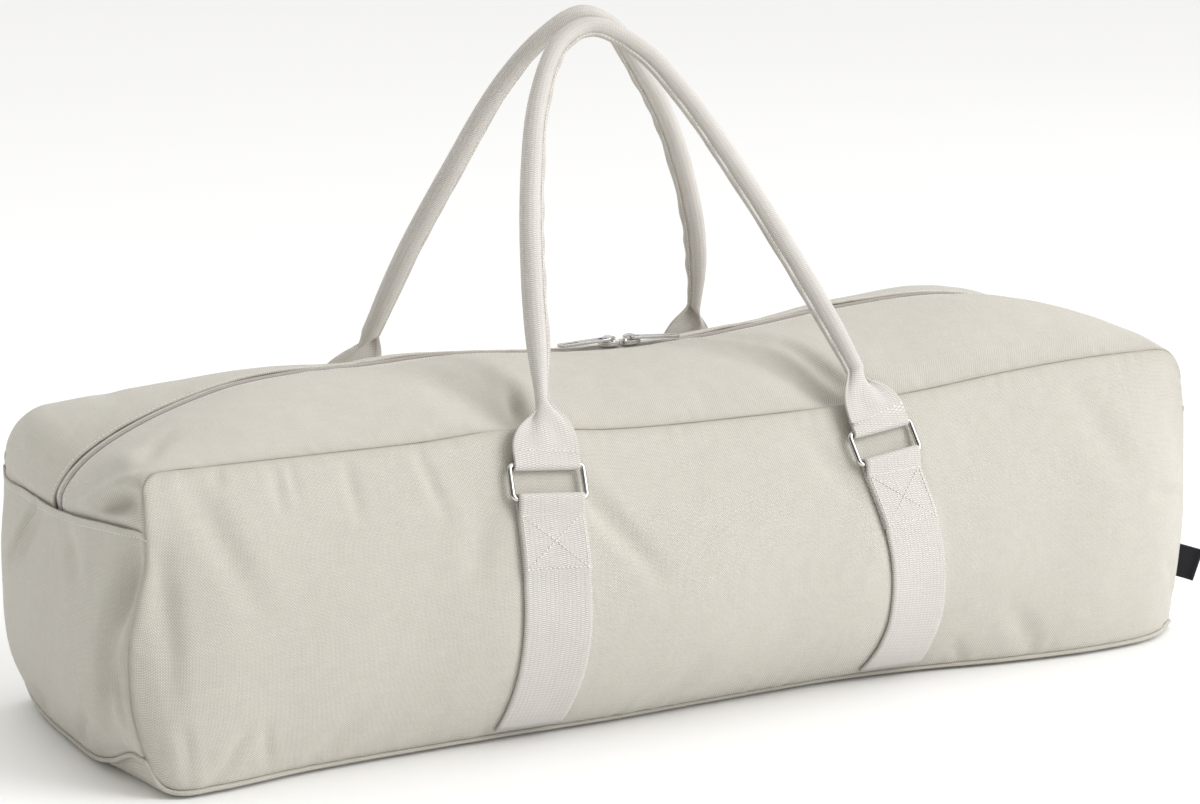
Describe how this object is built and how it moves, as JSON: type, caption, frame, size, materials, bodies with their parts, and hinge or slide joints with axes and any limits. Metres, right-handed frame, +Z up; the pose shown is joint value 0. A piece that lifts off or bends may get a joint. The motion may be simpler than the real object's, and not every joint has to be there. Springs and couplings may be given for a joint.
{
  "type": "yoga mat bag",
  "caption": "Long canvas yoga mat bag on a flat base, zipped along the top, with webbing handles on wire rings, built standing and closed.",
  "frame": {"origin": "middle of the flat base, on the surface that it stands on", "axes": "+X along the bag to the end with the side tag, front towards -Y, +Z up"},
  "size_m": [0.8545, 0.3205, 0.4618],
  "materials": {
    "canvas": "plain weave cotton canvas, matt",
    "webbing": "ribbed cotton webbing, matt",
    "zip_tape": "fine woven tape",
    "zip_coil": "nylon coil",
    "metal": "bright nickel plate",
    "tag": "plain woven ribbon"
  },
  "bodies": {
    "bag": {"front_panel": "canvas", "back_panel": "canvas", "gusset_front": "canvas", "gusset_back": "canvas", "end_panel_left": "canvas", "end_panel_right": "canvas", "base_panel": "canvas", "base_welt": "canvas", "zip_tape": "zip_tape", "zip_teeth": "zip_coil", "slider_left": "metal", "slider_right": "metal", "handle_front": "webbing", "handle_back": "webbing", "side_tag": "tag", "strap_front_left": "webbing", "ring_front_left": "metal", "strap_front_right": "webbing", "ring_front_right": "metal", "strap_back_left": "webbing", "ring_back_left": "metal", "strap_back_right": "webbing", "ring_back_right": "metal"},
    "pull_left": {"pull_left": "metal"},
    "pull_right": {"pull_right": "metal"}
  },
  "joints": [
    {"name": "pull_left_hinge", "type": "hinge", "parent": "bag", "child": "pull_left", "pos_m": [-0.01098, 0, 0.23309], "axis": [0, 1, 0], "range_deg": [0, 90]},
    {"name": "pull_right_hinge", "type": "hinge", "parent": "bag", "child": "pull_right", "pos_m": [0.00602, 0, 0.23303], "axis": [0, -1, 0], "range_deg": [0, 90]}
  ]
}
